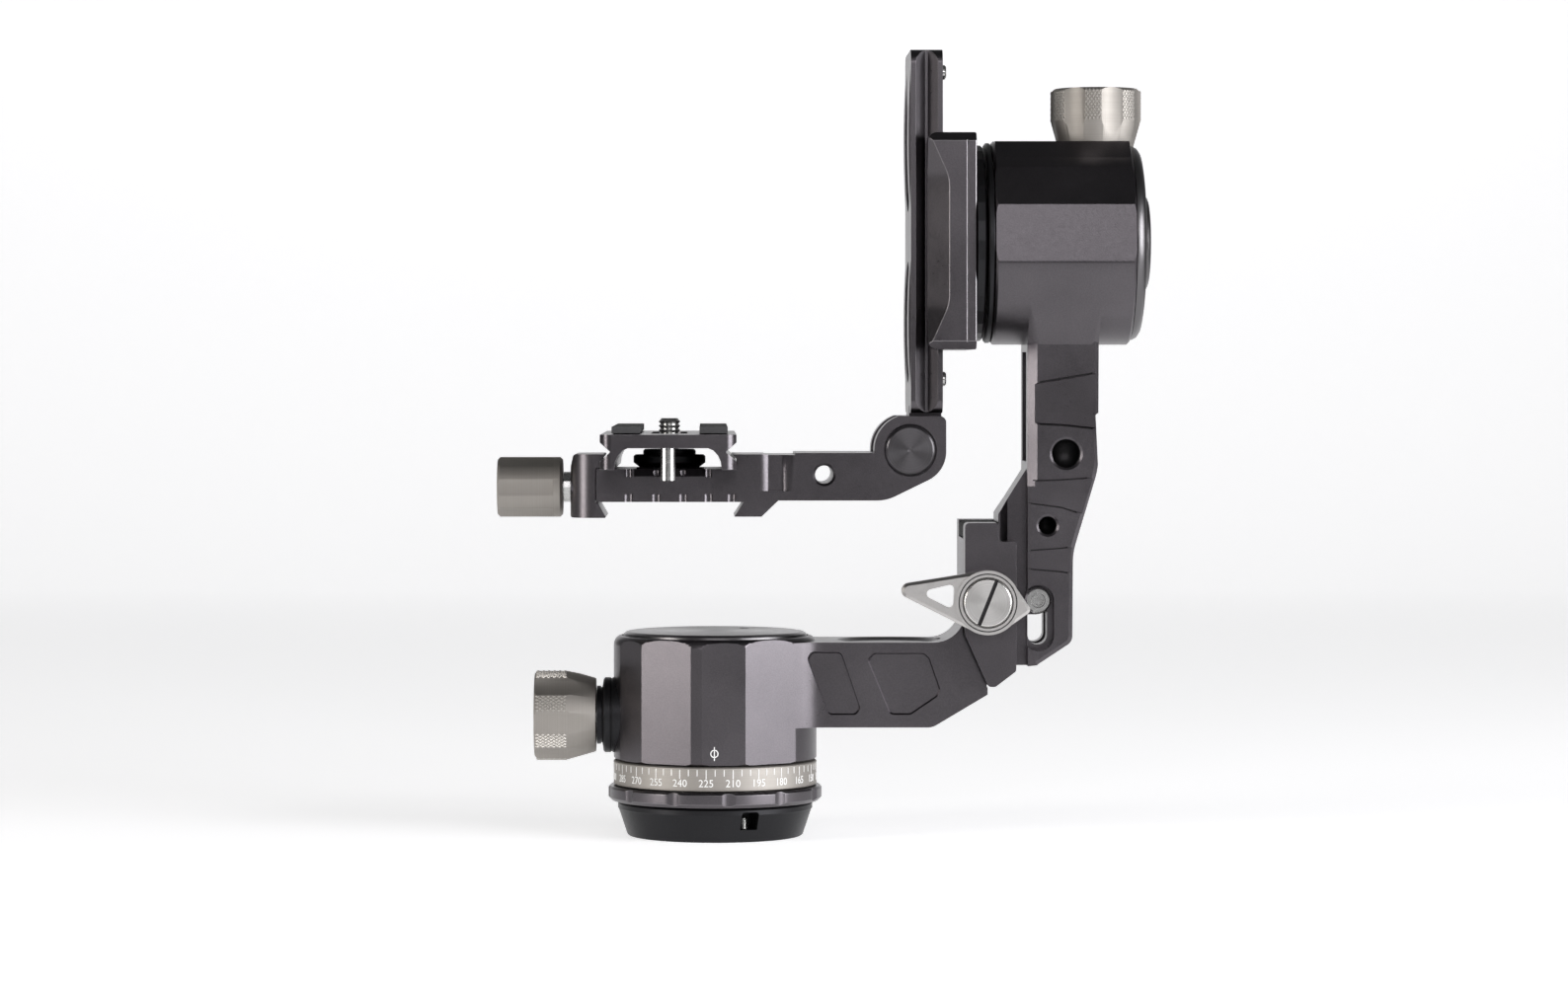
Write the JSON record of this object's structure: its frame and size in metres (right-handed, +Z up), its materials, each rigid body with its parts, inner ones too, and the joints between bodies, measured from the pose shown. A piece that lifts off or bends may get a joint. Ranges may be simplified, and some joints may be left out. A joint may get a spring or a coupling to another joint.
{
  "type": "gimbal tripod head",
  "caption": "Gimbal tripod head with a panning base, a folded arm, a tilt drum, a sliding height rail and a platform with a quick-release plate.",
  "frame": {"origin": "pan axis on the bottom face of the base, where the tripod's plate meets it", "axes": "+Z up along the pan axis, +X from the pan axis towards the arm and the tilt drum, +Y away from the picture's camera, along the quick-release plate"},
  "size_m": [0.1877, 0.1, 0.2259],
  "materials": {
    "anodised_dark_grey": "satin, dark grey anodised",
    "anodised_black": "satin, black anodised",
    "anodised_titanium": "satin, warm grey anodised",
    "satin_aluminium": "satin, clear anodised",
    "steel": "turned, bright",
    "brass": "turned",
    "rubber": "matte, ribbed",
    "white_polymer": "matte"
  },
  "bodies": {
    "base": {"base_plate": "anodised_dark_grey", "base_set_screw": "steel", "base_screw_1": "steel", "base_screw_2": "steel", "base_screw_3": "steel", "pan_spindle": "steel", "tripod_bushing": "steel", "lock_ring": "anodised_dark_grey", "degree_ring": "satin_aluminium", "pan_thrust_washer": "white_polymer", "pan_bearing_lower": "steel", "pan_bearing_upper": "steel", "pan_spindle_nut": "steel"},
    "pan": {"pan_housing": "anodised_dark_grey", "pan_top_cap": "anodised_dark_grey", "pan_knob_collar": "anodised_black", "arm_clamp_cap": "anodised_black", "pivot_shoulder_screw": "steel", "pivot_shoulder_nut": "steel", "arm_clamp_nut": "steel"},
    "pan_shoe": {"pan_brake_shoe": "brass"},
    "pan_knob": {"pan_lock_knob": "anodised_titanium", "pan_lock_screw": "steel"},
    "arm_jaw": {"arm_clamp_jaw": "anodised_dark_grey"},
    "lever": {"arm_clamp_lever": "satin_aluminium", "arm_clamp_bolt": "satin_aluminium"},
    "arm": {"upper_arm": "anodised_dark_grey", "drum_cover_ring": "anodised_black", "tilt_bearing_left": "steel", "tilt_bearing_right": "steel", "drum_end_cap": "anodised_dark_grey", "drum_boss": "anodised_dark_grey"},
    "tilt_shoe": {"tilt_brake_shoe": "brass"},
    "tilt_knob": {"tilt_lock_knob": "anodised_titanium", "tilt_lock_screw": "steel"},
    "tilt": {"tilt_shaft": "anodised_black", "tilt_shaft_nut": "steel", "rail_clamp_body": "anodised_dark_grey", "rail_clamp_screw_lower": "steel", "rail_clamp_screw_upper": "steel"},
    "rail_jaw": {"rail_clamp_jaw": "anodised_dark_grey"},
    "rail_knob": {"rail_clamp_knob": "anodised_titanium", "rail_clamp_screw": "steel"},
    "rail": {"height_rail": "anodised_dark_grey", "rail_stop_screw_lower": "steel", "rail_stop_screw_upper": "steel"},
    "platform": {"platform_bar": "anodised_dark_grey", "hinge_pin": "steel", "hinge_cap_front": "anodised_black", "hinge_cap_rear": "anodised_black"},
    "platform_jaw": {"platform_jaw": "anodised_dark_grey"},
    "platform_knob": {"platform_clamp_knob": "anodised_titanium", "platform_clamp_screw": "steel"},
    "plate": {"quick_release_plate": "anodised_dark_grey", "plate_grip_pad_left": "rubber", "plate_grip_pad_right": "rubber", "plate_stop_pin_front": "steel", "plate_stop_pin_rear": "steel"},
    "camera_screw": {"camera_screw": "steel", "camera_screw_ring": "anodised_black"}
  },
  "joints": [
    {"name": "pan_turn", "type": "hinge", "parent": "base", "child": "pan", "pos_m": [0, 0, 0.0346], "axis": [0, 0, 1], "continuous": true},
    {"name": "pan_shoe_slide", "type": "slide", "parent": "pan", "child": "pan_shoe", "axis": [-1, 0, 0], "range_m": [0, 0.00056]},
    {"name": "pan_knob_turn", "type": "hinge", "parent": "pan_shoe", "child": "pan_knob", "pos_m": [-0.0344, 0, 0.0346], "axis": [-1, 0, 0], "range_deg": [0, 180]},
    {"name": "arm_jaw_slide", "type": "slide", "parent": "pan", "child": "arm_jaw", "axis": [0, -1, 0], "range_m": [0, 0.00045]},
    {"name": "lever_turn", "type": "hinge", "parent": "arm_jaw", "child": "lever", "pos_m": [0.07735, -0.021, 0.06815], "axis": [0, -1, 0], "range_deg": [0, 150]},
    {"name": "arm_lift", "type": "slide", "parent": "pan", "child": "arm", "axis": [0, 0, 1], "range_m": [0, 0.01]},
    {"name": "tilt_shoe_slide", "type": "slide", "parent": "arm", "child": "tilt_shoe", "axis": [0, 0, 1], "range_m": [0, 0.00056]},
    {"name": "tilt_knob_turn", "type": "hinge", "parent": "tilt_shoe", "child": "tilt_knob", "pos_m": [0.11, 0, 0.1993], "axis": [0, 0, 1], "range_deg": [0, 180]},
    {"name": "tilt_turn", "type": "hinge", "parent": "arm", "child": "tilt", "pos_m": [0.0796, 0, 0.171], "axis": [1, 0, 0], "continuous": true},
    {"name": "rail_jaw_slide", "type": "slide", "parent": "tilt", "child": "rail_jaw", "axis": [0, 1, 0], "range_m": [0, 0.0034]},
    {"name": "rail_knob_turn", "type": "hinge", "parent": "rail_jaw", "child": "rail_knob", "pos_m": [0.0697, 0.026, 0.171], "axis": [0, 1, 0], "range_deg": [0, 1080]},
    {"name": "rail_slide", "type": "slide", "parent": "tilt", "child": "rail", "axis": [0, 0, 1], "range_m": [-0.015, 0.0058]},
    {"name": "platform_fold", "type": "hinge", "parent": "rail", "child": "platform", "pos_m": [0.05567, 0, 0.11136], "axis": [0, 1, 0], "range_deg": [0, 80]},
    {"name": "platform_jaw_slide", "type": "slide", "parent": "platform", "child": "platform_jaw", "axis": [-1, 0, 0], "range_m": [0, 0.0034]},
    {"name": "platform_knob_turn", "type": "hinge", "parent": "platform_jaw", "child": "platform_knob", "pos_m": [-0.044, 0, 0.1005], "axis": [-1, 0, 0], "range_deg": [0, 1080]},
    {"name": "plate_slide", "type": "slide", "parent": "platform", "child": "plate", "axis": [0, 1, 0], "range_m": [-0.0265, 0.0265]},
    {"name": "camera_screw_turn", "type": "hinge", "parent": "plate", "child": "camera_screw", "pos_m": [-0.0132, 0, 0.1162], "axis": [0, 0, 1], "continuous": true}
  ],
  "couplings": [
    {"joint": "pan_shoe_slide", "follows": "pan_knob_turn", "m_per_rad": 0.000159},
    {"joint": "arm_jaw_slide", "follows": "lever_turn", "m_per_rad": 0.00015},
    {"joint": "tilt_shoe_slide", "follows": "tilt_knob_turn", "m_per_rad": 0.000159},
    {"joint": "rail_jaw_slide", "follows": "rail_knob_turn", "m_per_rad": 0.000159},
    {"joint": "platform_jaw_slide", "follows": "platform_knob_turn", "m_per_rad": 0.000159}
  ]
}
